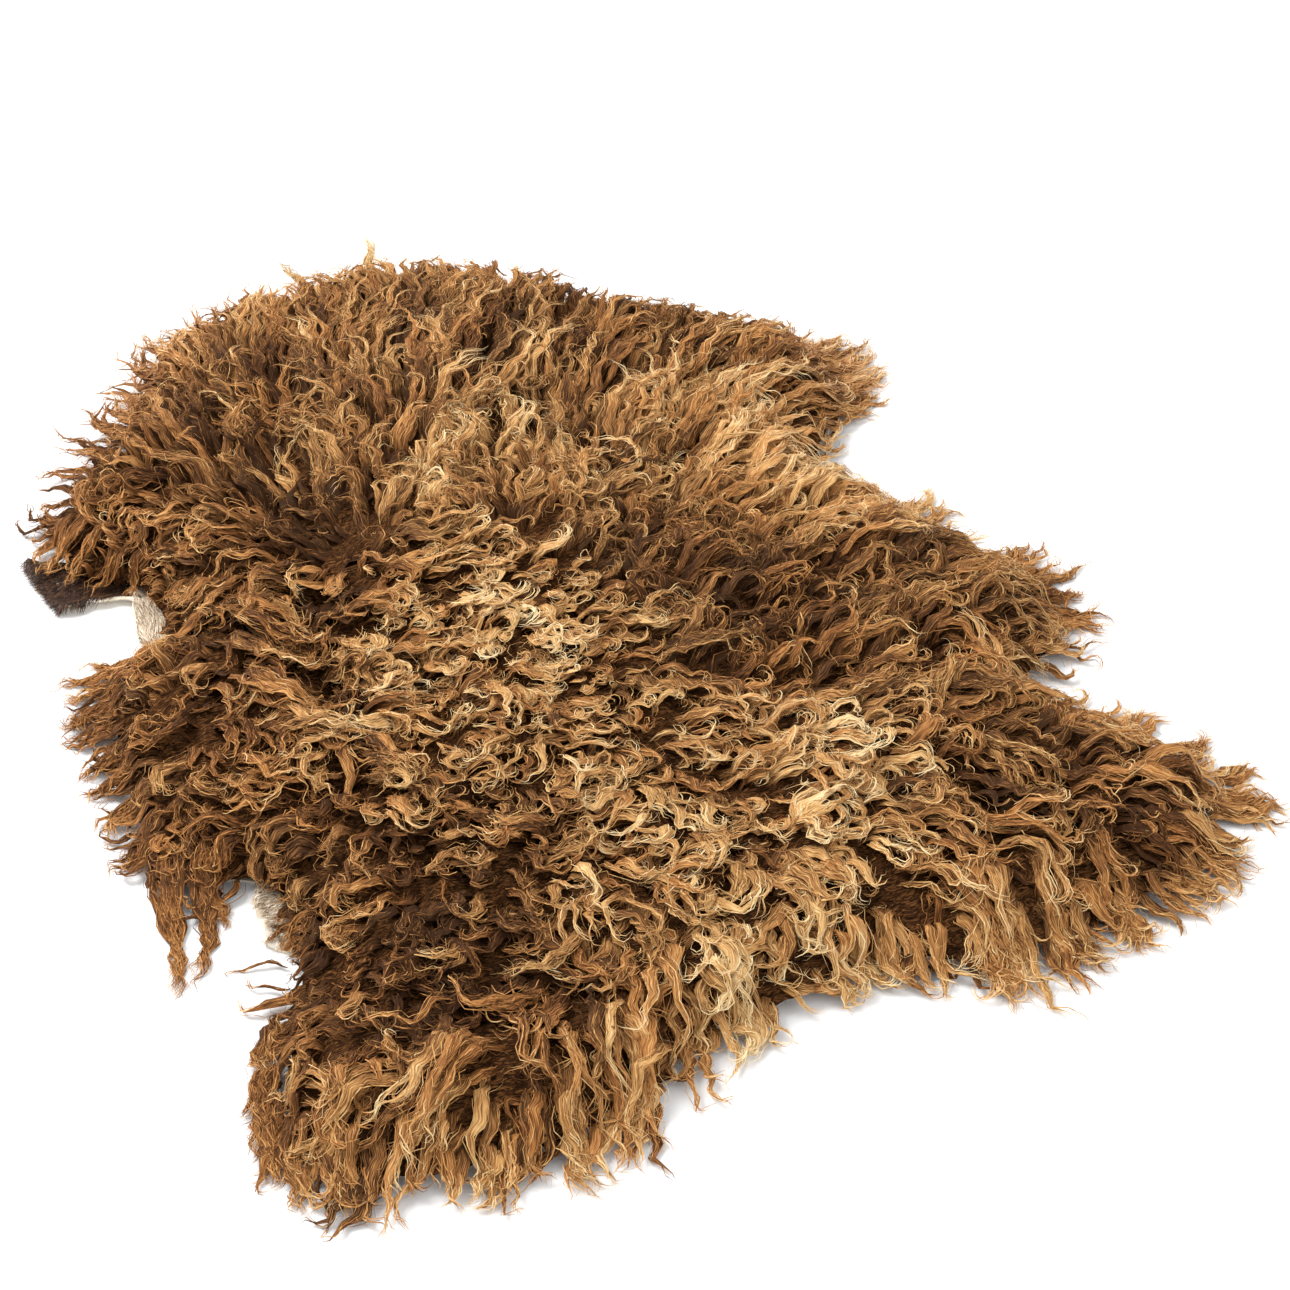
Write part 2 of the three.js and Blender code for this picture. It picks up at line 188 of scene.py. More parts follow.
# Colours from dark to pale, each with its place in a ramp from 0 to 1
BROWN_WOOL = [
    (0, (0.034, 0.012, 0.0045)), (0.2, (0.13, 0.049, 0.0155)), (0.42, (0.36, 0.145, 0.042)),
    (0.66, (0.62, 0.305, 0.10)), (0.95, (0.83, 0.60, 0.31)),
]
GOLDEN_WOOL = [
    (0, (0.036, 0.0145, 0.0055)), (0.2, (0.15, 0.063, 0.022)), (0.42, (0.43, 0.212, 0.070)),
    (0.66, (0.69, 0.43, 0.17)), (0.95, (0.88, 0.72, 0.43)),
]
REDDISH_WOOL = [
    (0, (0.045, 0.017, 0.007)), (0.25, (0.20, 0.078, 0.028)),
    (0.55, (0.48, 0.22, 0.085)), (0.95, (0.84, 0.58, 0.34)),
]
# Near-black to dark brown: partly the wool's own colour, partly painted shade for the gaps between locks
UNDER_WOOL_AND_SHADE = [(0.34, (0.012, 0.005, 0.002)), (0.5, (0.05, 0.0195, 0.0065)), (0.68, (0.19, 0.08, 0.026))]
SUEDE = [(0.3, (0.62, 0.50, 0.36)), (0.5, (0.80, 0.72, 0.58)), (0.7, (0.88, 0.84, 0.74))]
DARK_HAIR = [(0, (0.010, 0.005, 0.003)), (0.5, (0.032, 0.015, 0.009)), (0.85, (0.15, 0.068, 0.030))]
PALE_HAIR = [(0, (0.13, 0.07, 0.035)), (0.35, (0.54, 0.39, 0.25)), (0.8, (0.95, 0.85, 0.69))]

# How the wool lies, in millimetres and degrees. heading is from +X, counterclockwise. stand is 0 where
# locks lie long and combed, 1 where they stand up in short curls, and above 1 where they are shorter
# still. gold is the share of pale golden locks, and light how much paler than the rest the wool is.
# over is how far it reaches past the solid's outline, or less than 0 where it stops short of it.
ZONES = [
    # name, x, y, heading, stand, gold, light, over
    ("crown", -12, 540, 118, 0, 0.6, 0.2, 82),
    ("neck left", -212, 520, 124, 0, 0.1, 0.1, 64),
    ("neck middle left", -105, 470, 88, 0, 0.2, 0.08, 44),
    ("neck right", 128, 500, 66, 0, 0.25, 0.12, -2),
    ("nape", 8, 360, 54, 0, 0.5, -0.14, 10),
    ("nape left", -130, 390, 66, 0, 0.2, -0.04, 10),
    ("shoulder left", -302, 380, 136, 0.5, 0.05, 0.06, 70),
    ("foreleg left", -382, 270, 168, 1.2, 0, -0.12, 52),
    ("foreleg left lower", -340, 205, 205, 0.9, 0, -0.06, -12),
    ("shoulder left inner", -240, 310, 104, 0.1, 0.2, -0.1, 10),
    ("withers left", -140, 270, 90, 0.3, 0.35, -0.04, 10),
    ("withers right", 138, 330, 40, 0.1, 0.3, -0.1, 10),
    ("shoulder right", 240, 400, 44, 0, 0.3, 0, -6),
    ("foreleg right", 348, 310, 20, 0.15, 0.35, 0.2, 62),
    ("foreleg right lower", 325, 215, 8, 0.1, 0.25, 0.06, 34),
    ("side right", 252, 42, 33, 0.15, 0.35, 0.4, 10),
    ("neck rim right", 72, 588, 84, 0, 0.3, 0.42, 28),
    ("ribs right", 198, 160, 36, 0.1, 0.35, 0.28, 10),
    ("waist right", 272, 110, 30, 0.1, 0.3, 0.2, 0),
    ("flank right", 328, 20, 36, 0.2, 0.25, 0.26, 62),
    ("flank right tip", 383, -120, 2, 0.25, 0.12, 0.08, 58),
    ("belly right", 248, -90, 10, 0.3, 0.45, -0.08, 10),
    ("ribs right lower", 130, -110, 12, 0.7, 0.35, -0.2, 10),
    ("haunch right upper", 200, -210, -10, 0.6, 0.3, -0.05, 10),
    ("hind leg right upper", 358, -320, 18, 0.35, 0.25, 0.22, 34),
    ("hind leg right tip", 398, -400, -14, 0.15, 0.25, 0.2, 60),
    ("hind leg right lower", 348, -460, -62, 0.2, 0.3, 0.04, 22),
    ("haunch right", 250, -370, -60, 0.6, 0.35, -0.1, 6),
    ("rump right", 188, -460, -88, 0.3, 0.4, 0.06, 32),
    ("tail", 8, -460, -88, 0.6, 0.85, 0.24, 22),
    ("rump left", -122, -510, 252, 0.1, 0.3, 0.14, 20),
    ("hind leg left hem", -242, -530, 228, 0, 0.3, 0.1, -2),
    ("hind leg left corner", -337, -510, 234, 0.7, 0.1, -0.08, 26),
    ("hind leg left upper", -342, -410, 218, 0.9, 0.1, -0.1, 56),
    ("haunch left", -225, -400, 240, 0.7, 0.3, -0.28, 10),
    ("flank left lower", -362, -215, 208, 1.1, 0, -0.12, 38),
    ("flank left", -392, -60, 178, 1.2, 0, -0.18, 56),
    ("flank left inner", -300, 50, -38, 0.3, 0.3, -0.1, 10),
    ("ribs left", -262, -90, -64, 0.4, 0.4, 0.08, 10),
    ("armpit left", -335, 30, 172, 0.8, 0.15, -0.1, 42),
    ("armpit bare patch", -300, 110, 184, 0.6, 0.2, 0, 4),
    ("groin bare patch", -296, -275, 190, 0.6, 0.2, -0.12, 16),
    ("back upper", -20, 190, 70, 0.8, 0.75, 0.14, 10),
    ("back", -62, -40, -70, 1, 0.7, 0.32, 10),
    ("back right", 60, -30, 40, 0.7, 0.45, -0.16, 10),
    ("back left", -160, -60, -60, 0.9, 0.55, 0.16, 10),
    ("loin", -40, -280, -100, 0.8, 0.7, 0.18, 10),
    ("loin left", -190, -270, -100, 0.9, 0.35, -0.06, 10),
    ("loin right", 100, -270, -50, 0.7, 0.55, 0.26, 10),
]
ZONE_SOFTNESS = 22 * MM
ZONE_POWER = 1.8

# Locks that stand out from the rest, in millimetres and degrees. width is a lock's own at its root, taper
# how much of it is lost towards the tip, staples how many it has, and bend how far its end turns.
LOCKS = [
    # name, width, taper, staples, and x, y, heading, length, bend, gold and light of each lock
    ("flank hanging outer", 30, 0.92, 8, [(-380, -196, 266, 172, -34, 0.1, -0.12)]),
    ("flank hanging outer tip", 8, 0.9, 3, [(-386, -236, 267, 136, -34, 0.1, -0.12)]),
    ("flank hanging middle", 22, 0.95, 6, [(-364, -200, 264, 178, -36, 0.1, -0.14)]),
    ("flank hanging inner", 16, 0.7, 5, [(-354, -206, 270, 96, 10, 0.1, -0.14)]),
    ("flank corner", 16, 0.4, 6, [
        (-352, 40, 168, 98, 15, 0, -0.06), (-358, 20, 172, 92, -20, 0, -0.08),
        (-362, 0, 176, 88, 20, 0, -0.08),
    ]),
    ("flank edge", 28, 0.3, 8, [
        (-384, -26, 180, 62, -10, 0, -0.12), (-386, -60, 186, 58, 10, 0, -0.12),
        (-384, -96, 190, 56, -10, 0, -0.12), (-385, -132, 194, 60, 10, 0, -0.12),
    ]),
    ("flank top", 12, 0.85, 5, [
        (-344, 46, 158, 84, -20, 0, -0.02), (-322, 42, 162, 72, 20, 0.1, 0),
    ]),
    ("leg wool", 20, 0.4, 7, [
        (-366, 262, 202, 74, 15, 0, -0.1), (-348, 244, 202, 96, -15, 0, -0.1),
    ]),
    ("leg wool middle", 18, 0.4, 6, [(-338, 222, 204, 88, 15, 0, -0.14)]),
    ("leg wool lower", 16, 0.4, 5, [(-326, 198, 210, 76, -20, 0, -0.16)]),
    ("leg wool inner", 14, 0.4, 5, [(-318, 176, 216, 58, 20, 0, -0.16)]),
    ("groin wisp", 3, 0.85, 1, [
        (-322, -334, 164, 60, 80, 0, -0.15), (-322, -360, 150, 58, -70, 0, -0.15),
    ]),
    ("hind leg tail strand", 2, 0.85, 1, [(-346, -506, 264, 104, 14, 0, -0.35)]),
    ("groin cover upper", 14, 0.4, 5, [(-326, -214, 208, 52, 30, 0, -0.14)]),
    ("groin cover", 16, 0.4, 5, [(-292, -310, 176, 52, 30, 0.1, -0.16)]),
    ("hind leg edge", 16, 0.4, 6, [
        (-340, -388, 236, 66, 15, 0.1, -0.1), (-354, -426, 240, 66, -15, 0.1, -0.08),
        (-360, -454, 244, 62, 15, 0.2, -0.06), (-364, -480, 250, 56, -15, 0.2, -0.06),
    ]),
    ("armpit curl", 6, 0.85, 3, [(288, 154, 8, 64, 60, 0.2, 0.05)]),
    ("flank curl", 5, 0.85, 2, [(-360, 24, 148, 58, 30, 0.1, 0)]),
    ("crown wisp", 18, 0.85, 9, [(-14, 534, 88, 124, -20, 0.9, 0.2)]),
    ("crown wisp left", 18, 0.85, 7, [(-66, 536, 114, 108, 30, 0.8, 0.16)]),
    ("hind leg curl", 4, 0.85, 2, [(396, -345, 22, 52, 100, 0.1, -0.1)]),
    ("flank edge foot", 26, 0.3, 8, [(-380, -168, 202, 60, 10, 0, -0.12)]),
    ("hind leg filling upper", 24, 0.2, 7, [(-332, -394, 228, 58, 0, 0, -0.16)]),
    ("hind leg filling", 24, 0.2, 8, [
        (-346, -432, 228, 58, 0, 0, -0.18), (-350, -462, 232, 56, 0, 0, -0.18),
        (-352, -490, 238, 52, 0, 0.1, -0.14),
    ]),
    ("flank tip", 26, 0.3, 8, [
        (376, -62, 22, 66, 15, 0, 0), (386, -88, 8, 64, -15, 0, -0.02),
        (388, -116, -2, 58, 15, 0, -0.04),
    ]),
    ("flank tip bottom", 24, 0.3, 7, [(378, -142, -14, 50, -15, 0, -0.04)]),
    ("hind leg tip", 28, 0.3, 8, [
        (394, -352, 18, 56, 10, 0.2, 0.06), (404, -384, 2, 54, -10, 0.2, 0.06),
        (400, -416, -18, 56, 10, 0.2, 0.04),
    ]),
    ("foreleg tip", 28, 0.3, 8, [
        (366, 334, 30, 70, 10, 0.3, 0.16), (374, 304, 16, 72, -10, 0.3, 0.18),
        (368, 274, 6, 70, 10, 0.3, 0.14),
    ]),
    ("hind leg corner", 24, 0.5, 7, [
        (-350, -506, 250, 66, 12, 0.3, 0.04), (-330, -520, 258, 62, -12, 0.3, 0.08),
    ]),
    ("foreleg tip bottom", 28, 0.3, 7, [(352, 242, -2, 72, -10, 0.3, 0.12)]),
    ("foreleg tip foot", 26, 0.3, 7, [(336, 218, -8, 66, 10, 0.3, 0.1)]),
    ("rump right hem", 28, 0.4, 7, [
        (110, -478, 268, 60, 10, 0.4, 0.1), (160, -484, 272, 60, -10, 0.3, 0.06),
        (210, -486, 276, 60, 10, 0.3, 0.06),
    ]),
    ("hind leg hem", 28, 0.4, 7, [
        (260, -484, 284, 60, -10, 0.3, 0.08), (304, -472, 294, 60, 10, 0.3, 0.06),
        (344, -452, 304, 60, -10, 0.3, 0.06),
    ]),
]
LONG_LOCK = 120  # millimetres: a lock longer than this hangs nearly straight

# Where the skin is bare, in millimetres: locks from around stop just past its edge
BARE_PATCHES = [
    # x, y, half width, half length
    (-336, 90, 21, 46),
    (-325, -270, 15, 34),
]
BARE_EDGE = 7 * MM

# Short hair on bare skin, in millimetres and degrees. Each patch is filled between its four corners.
HAIR_PATCHES = [
    # name, corners, number of hairs, heading, spread, length, half width, wave
    ("leg_hair", ((-343, 155), (-403, 160), (-421, 240), (-340, 230)), 2200, 205, 18, 14, 0.45, 0.4),
    ("leg_front_hair", ((-384, 154), (-407, 157), (-406, 168), (-380, 166)), 360, 232, 20, 11, 0.5, 0.6),
    ("leg_side_hair", ((-405, 157), (-424, 242), (-414, 242), (-397, 162)), 700, 200, 26, 12, 0.5, 0.6),
    ("armpit_upper_hair", ((-340, 178), (-349, 124), (-312, 112), (-300, 166)), 900, -84, 9, 16, 0.32, 0.3),
    ("armpit_hair", ((-349, 121), (-359, 56), (-318, 40), (-311, 109)), 950, -86, 5, 18, 0.42, 0.25),
    ("groin_hair", ((-330, -240), (-321, -312), (-303, -305), (-305, -230)), 700, 204, 5, 9, 0.45, 0.9),
]
HAIR_STATIONS = 5
HAIR_DROOP = 2 * MM
HAIR_WAVE_LENGTH = 5 * MM

rng = np.random.default_rng(SEED)


def smooth_share(value, low, high):
    share = np.clip((value - low) / (high - low), 0, 1)
    return share * share * (3 - 2 * share)


def mix(a, b, share):
    return a + (b - a) * share


def unit(vectors):
    return vectors / np.maximum(np.linalg.norm(vectors, axis=-1, keepdims=True), 1e-9)


def ripple(x, y, length, seed):
    """A smooth uneven wave over the skin, about -1 to 1, with bumps about length across."""
    source = np.random.default_rng(seed)
    total = 0
    for _ in range(5):
        turn, phase = source.uniform(0, 2 * math.pi, 2)
        scale = 2 * math.pi / (length * source.uniform(1.4, 2.6))
        total = total + np.sin(scale * (x * math.cos(turn) + y * math.sin(turn)) + phase)
    return total / 2.4


# Reading the solids


class Grid:
    """Values on a level grid, read smoothly between its points."""

    def __init__(self, low, values):
        self.low = low
        self.values = values

    def at(self, x, y):
        rows, columns = self.values.shape
        u = np.clip((x - self.low[0]) / CELL, 0, columns - 1.001)
        v = np.clip((y - self.low[1]) / CELL, 0, rows - 1.001)
        i, j = u.astype(int), v.astype(int)
        u, v = u - i, v - j
        near = mix(self.values[j, i], self.values[j, i + 1], u)
        far = mix(self.values[j + 1, i], self.values[j + 1, i + 1], u)
        return mix(near, far, v)


def blurred(values, radius):
    """Averages over about radius, by repeated three-point means along both axes."""
    passes = max(1, round((radius / CELL) ** 2 * 0.75))
    for _ in range(passes):
        for _ in (0, 1):
            padded = np.pad(values, [(1, 1), (0, 0)], mode="edge")
            values = ((padded[:-2] + values + padded[2:]) / 3).T
    return values


def signed_distance(low, mask):
    """Distance of each grid point to the mask's edge, above 0 inside it."""
    inner = mask[1:-1, 1:-1]
    around = mask[:-2, 1:-1] & mask[2:, 1:-1] & mask[1:-1, :-2] & mask[1:-1, 2:]
    rows, columns = np.nonzero(inner & ~around)
    tree = tree_of(low[0] + (columns + 1) * CELL, low[1] + (rows + 1) * CELL)
    distance = np.empty(mask.shape)
    for row in range(mask.shape[0]):
        for column in range(mask.shape[1]):
            distance[row, column] = tree.find((low[0] + column * CELL, low[1] + row * CELL, 0))[2]
    return np.where(mask, distance, -distance)


def tree_of(x, y):
    """A search tree of level places."""
    tree = KDTree(len(x))
    for i, place in enumerate(zip(x, y)):
        tree.insert((*place, 0), i)
    tree.balance()
    return tree


def surface_tree(node):
    mesh = node.data
    return BVHTree.FromPolygons([v.co for v in mesh.vertices], [tuple(p.vertices) for p in mesh.polygons])


def height_at(tree, x, y):
    """How high a surface is at a place, or None beside it."""
    hit = tree.ray_cast((x, y, ABOVE_ALL), Vector((0, 0, -1)))[0]
    return hit.z if hit else None


def read_fleece(node):
    """Grids of the fleece: the surface that locks lie on, depth inside the rim, room to the outline."""
    low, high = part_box("fleece")
    low = (low.x - GRID_MARGIN, low.y - GRID_MARGIN)
    columns = int((high.x + GRID_MARGIN - low[0]) / CELL) + 1
    rows = int((high.y + GRID_MARGIN - low[1]) / CELL) + 1
    tree = surface_tree(node)
    height = np.zeros((rows, columns))
    for row in range(rows):
        for column in range(columns):
            height[row, column] = height_at(tree, low[0] + column * CELL, low[1] + row * CELL) or 0
    depth = blurred(signed_distance(low, height > RIM_TOP), RIM_BLUR)
    near_outline = signed_distance(low, height > RIM_FOOT) > -RIM_GAP
    drape = RIM_TOP * np.exp(np.minimum(depth, 0) / DRAPE)
    surface = blurred(np.where(depth > 0, np.maximum(height, RIM_TOP), drape), SURFACE_BLUR)
    hollow = np.clip((blurred(surface, HOLLOW_BLUR) - surface) / HOLLOW_FULL, 0, 1)
    hollow = hollow * smooth_share(depth, 0.02, 0.06)
    return {
        "surface": Grid(low, surface - HOLLOW_DEPTH * hollow),
        "depth": Grid(low, depth),
        "room": Grid(low, signed_distance(low, near_outline) - RIM_GAP),
        "hollow": Grid(low, hollow),
    }


def zone_at(x, y):
    """Heading in radians, stand, gold, light and over in metres at each point, from ZONES."""
    weights = east = north = 0
    others = np.zeros((4, len(x)))
    for _, row_x, row_y, heading, *row in ZONES:
        away = (x - row_x * MM) ** 2 + (y - row_y * MM) ** 2
        weight = 1 / (away + ZONE_SOFTNESS ** 2) ** ZONE_POWER
        weights = weights + weight
        east = east + weight * math.cos(math.radians(heading))
        north = north + weight * math.sin(math.radians(heading))
        others = others + weight * np.array(row)[:, None]
    stand, gold, light, over = others / weights
    return np.arctan2(north, east), stand, gold, light, over * MM


# Staples


class Draws:
    """Random numbers for staples: each its own, or one for all the staples of a group."""

    def __init__(self, group, groups):
        self.group = group
        self.groups = groups

    def own(self, low, high):
        return rng.uniform(low, high, len(self.group))

    def shared(self, low, high):
        return rng.uniform(low, high, self.groups)[self.group]

    def normal(self, width):
        return rng.normal(0, width, len(self.group))


def scattered(grids, pitch, margin):
    """Staggered, uneven places over the fleece, more than margin inside its rim."""
    depth = grids["depth"]
    rows, columns = depth.values.shape
    across = np.arange(depth.low[0], depth.low[0] + columns * CELL, pitch)
    along = np.arange(depth.low[1], depth.low[1] + rows * CELL, pitch * ROW_SPACING)
    x, y = np.meshgrid(across, along)
    x = x + (np.arange(len(along)) % 2)[:, None] * pitch / 2
    x = (x + rng.uniform(-SCATTER, SCATTER, x.shape) * pitch).ravel()
    y = (y + rng.uniform(-SCATTER, SCATTER, y.shape) * pitch).ravel()
    keep = depth.at(x, y) > margin
    return x[keep], y[keep]


def room_ahead(grids, x, y, heading):
    """How far a straight line from each point stays inside the outline."""
    reach = np.full(x.shape, LONGEST_ROOM)
    for step in np.arange(LONGEST_ROOM, 0, -ROOM_STEP):
        outside = grids["room"].at(x + np.cos(heading) * step, y + np.sin(heading) * step) < 0
        reach = np.where(outside, step - ROOM_STEP, reach)
    return np.maximum(reach, SHORTEST_ROOM)


def bare_ahead(x, y, heading):
    """How far a straight line from each point stays off the bare patches."""
    longest = STAPLE_LENGTH[0]
    reach = np.full(x.shape, longest)
    for step in np.arange(longest, 0, -ROOM_STEP):
        tip_x, tip_y = x + np.cos(heading) * step, y + np.sin(heading) * step
        for middle_x, middle_y, half_width, half_length in np.array(BARE_PATCHES) * MM:
            away = ((tip_x - middle_x) / half_width) ** 2 + ((tip_y - middle_y) / half_length) ** 2
            reach = np.where(away < 1, step, reach)
    return reach


def make_staples(grids):
    """The staples that cover the fleece: how each lies and waves, and what colours it."""
    x, y = scattered(grids, STAPLE_SPACING, 1 * MM)
    tuft_x, tuft_y = scattered(grids, TUFT_SPACING, -5 * MM)
    tufts = tree_of(tuft_x, tuft_y)
    tuft = np.array([tufts.find((*place, 0))[1] for place in zip(x, y)])
    draws = Draws(tuft, len(tuft_x))
    heading, stand, gold, light, over = zone_at(x, y)
    depth = grids["depth"].at(x, y)
    hollow = grids["hollow"].at(x, y) * (1 - 0.8 * smooth_share(x, 0.1, 0.2))
    stand = stand + 0.2 * ripple(x, y, 50 * MM, 3)
    stand = np.clip(stand, 0, 1.4) * mix(0.6, 1, smooth_share(depth, -0.02, 0.05))
    length = mix(*STAPLE_LENGTH, stand)
    stand = np.clip(stand, 0, 1)
    # Standing wool turns every way, and combed wool hardly strays from its zone's heading
    heading = heading + np.radians(12 + 20 * stand) * ripple(x, y, 45 * MM, 1)
    heading = heading + rng.normal(0, 1, len(tuft_x))[tuft] * np.radians(8 + 26 * stand)
    heading = heading + draws.normal(1) * np.radians(3 + 13 * stand)
    length = length * draws.shared(0.8, 1.15)
    # rank is 0 for a staple low in its tuft and 1 for one on top
    rank = (0.5 * draws.shared(0, 1) + 0.5 * draws.own(0, 1)) ** mix(1.2, 0.9, stand)
    length = length * draws.own(0.85, 1.1) * mix(0.8, 1.1, rank) * (1 - 0.25 * hollow)
    room = (room_ahead(grids, x, y, heading) + over) * draws.own(0.8, 1.08)
    room = np.minimum(room, bare_ahead(x, y, heading) + BARE_EDGE)
    length = np.minimum(length, room / STAPLE_REACH)
    under = draws.own(0, 1) < UNDERGROWTH
    heading = heading + under * draws.normal(1.1)
    length = np.where(under, np.minimum(length, UNDERGROWTH_LENGTH * draws.own(0.8, 1.2)), length)
    stand, rank = np.where(under, 1, stand), np.where(under, 0.25 * rank, rank)
    side = rng.choice([-1, 1], len(tuft_x))[tuft]
    curl = side * np.radians(mix(draws.own(0, 70), draws.own(110, 320), stand))
    away_x, away_y = tuft_x[tuft] - x, tuft_y[tuft] - y
    outer = np.clip(2 * np.hypot(away_x, away_y) / TUFT_SPACING, 0, 1.2)
    # Tufts are looser on the left flank, and wool that heads up the neck stands off it
    pull = mix(*TUFT_PULL, stand) * (1 - 0.45 * smooth_share(-x, 0.29, 0.36) * smooth_share(y, -0.3, -0.24))
    neck = smooth_share(np.sin(heading), 0, 0.6) * smooth_share(y, 0.1, 0.4)
    neck = neck * (1 - 0.75 * smooth_share(x, 0.04, 0.2))
    return {
        "x": x, "y": y, "heading": heading, "stand": stand, "light": light, "length": length,
        "curl": curl, "hollow": hollow,
        "gold": np.clip(gold + draws.shared(-0.5, 0.5) + draws.own(-0.3, 0.3), 0, 1),
        "contrast": smooth_share(gold, 0, 0.55),
        "red": (1 - smooth_share(depth, 0.0, 0.09)) * smooth_share(y, 0.1, 0.45),
        "pull_x": away_x * pull, "pull_y": away_y * pull,
        "rank": rank, "outer": outer, "stray": np.ones(len(x)),
        "layer": (draws.shared(-5, 5) + mix(-11, mix(9, 4, stand), rank)) * MM - TUFT_ROUND * outer,
        "lift": TIP_LIFT + NECK_LIFT * neck,
        "width": STAPLE_WIDTH * draws.own(0.6, 1.4) * mix(0.88, 1, stand) * mix(1.3, 0.95, rank),
        "crimp": mix(*CRIMP_LENGTH, stand) * draws.shared(0.75, 1.3),
        "size": CRIMP_SIZE * draws.shared(0.4, 1.5),
        "phase": draws.shared(0, 2 * math.pi) + draws.normal(0.45),
        "sway": np.radians(13 * draws.shared(-1, 1) + 6 * draws.own(-1, 1)),
        "random": 0.75 * draws.shared(0, 1) + 0.25 * draws.own(0, 1),
    }


def lock_staples():
    """The staples of LOCKS: several to a lock, which draw together towards its tip."""
    locks = np.array([(*lock, *shape) for _, *shape, locks in LOCKS for lock in locks], dtype=float)
    owner = np.repeat(np.arange(len(locks)), locks[:, -1].astype(int))
    x, y, heading, length, bend, gold, light, width, taper, _ = locks[owner].T
    count, draws = len(owner), Draws(owner, len(locks))
    spread_x, spread_y = rng.uniform(-0.5, 0.5, (2, count)) * width * MM
    return {
        "x": x * MM + spread_x, "y": y * MM + spread_y, "heading": np.radians(heading),
        "stand": np.zeros(count), "light": light, "length": length * MM * draws.own(0.85, 1.02),
        "curl": np.radians(bend), "hollow": np.zeros(count),
        "gold": gold, "contrast": np.full(count, 0.5), "red": np.zeros(count),
        "pull_x": -taper * spread_x, "pull_y": -taper * spread_y,
        "rank": np.full(count, 0.6), "outer": np.full(count, 0.5), "stray": np.full(count, 0.35),
        "layer": draws.own(0, 4) * MM, "lift": np.where(y > CREST_START, CREST_LIFT, 0),
        "width": np.clip(width * 0.5, 3, 7) * MM,
        "crimp": CRIMP_LENGTH[0] * draws.shared(0.7, 1.1),
        "size": CRIMP_SIZE * draws.shared(0.8, 1.6) * np.where(length > LONG_LOCK, 0.4, 1),
        "phase": draws.shared(0, 2 * math.pi) + draws.normal(0.35),
        "sway": np.radians(12 * draws.shared(-1, 1) + draws.own(-5, 5)),
        "random": 0.7 * draws.shared(0.3, 0.7) + 0.3 * draws.own(0, 1),
    }


def middle_lines(staples, grids):
    """The middle line of each staple, from its root in the pile out over the surface."""
    x, y = staples["x"].copy(), staples["y"].copy()
    count = len(x)
    lines = np.empty((count, CENTRE_STATIONS, 3))
    free = mix(0.5, 0.75, staples["stand"])
    step = staples["length"] / (CENTRE_STATIONS - 1)
    arch = rng.uniform(0, 6, count) * MM
    droop = rng.uniform(-4, 4, count) * MM
    pulled = 0
    for k in range(CENTRE_STATIONS):
        share = k / (CENTRE_STATIONS - 1)
        turn = staples["curl"] * np.clip((share - CURL_START) / (1 - CURL_START), 0, 1) ** 1.4
        angle = staples["heading"] + staples["sway"] * math.sin(share * math.pi * 1.6) + turn
        flat = mix(0.35, 0.97, smooth_share(share, 0, free))
        pull = smooth_share(share, 0.1, 0.8)
        if k:
            x = x + np.cos(angle) * step * flat + staples["pull_x"] * (pull - pulled)
            y = y + np.sin(angle) * step * flat + staples["pull_y"] * (pull - pulled)
            x, y = np.clip(x, -FARTHEST[0], FARTHEST[0]), np.clip(y, -FARTHEST[1], FARTHEST[1])
        pulled = pull
        rise = -ROOT_DEPTH * (1 - smooth_share(share, -0.1, free))
        rise = rise + arch * np.sin(math.pi * np.clip((share - 0.2) / 0.8, 0, 1)) + droop * share ** 4
        surface = grids["surface"].at(x, y)
        fade = np.clip(surface / FULL_PILE, 0.1, 1)
        z = surface + (rise + staples["layer"]) * fade
        z = z + staples["lift"] * mix(fade, 1, 0.5) * share ** 1.5
        lines[:, k] = np.stack([x, y, np.maximum(z, LINE_CLEARANCE)], axis=1)
    return lines


def along_lines(lines, staple, share):
    """Points of the staples' middle lines at each share of their length."""
    place = share * (CENTRE_STATIONS - 1)
    first = np.clip(place.astype(int), 0, CENTRE_STATIONS - 2)
    part = (place - first)[..., None]
    return mix(lines[staple[:, None], first], lines[staple[:, None], first + 1], part)


def under_ceiling(z):
    """Heights above SOFT_CEILING are pressed together, so that none reaches CEILING."""
    room = CEILING - SOFT_CEILING
    return np.where(z > SOFT_CEILING, CEILING - room * np.exp((SOFT_CEILING - z) / room), z)


# Strands


class Strands:
    """The strands of one kind: the staple that each grows in, and where on it each station lies."""

    def __init__(self, staples, kind):
        staple = np.repeat(np.arange(len(staples["x"])), kind["each"])
        kept = rng.uniform(0, 1, len(staple)) <= mix(kind["least"], 1, staples["rank"][staple])
        self.staple = staple[kept]
        self.staples = staples
        self.kind = kind
        self.grown = 1 - (1 - np.linspace(0, 1, kind["stations"])[None, :]) ** 1.25
        self.share = mix(self.each(*kind["start"]), self.each(*kind["end"]), self.grown)
        middle_thickness = 0.3 + 0.9 * np.sin(math.pi * np.clip(self.share + 0.1, 0, 1))
        self.bundle = self.of("width") / 2 * middle_thickness * (1 - 0.6 * self.share ** 2)

    def of(self, name):
        """A value of each strand's staple, as a column."""
        return self.staples[name][self.staple][:, None]

    def each(self, low, high):
        """A random number for each strand, as a column."""
        return rng.uniform(low, high, len(self.staple))[:, None]


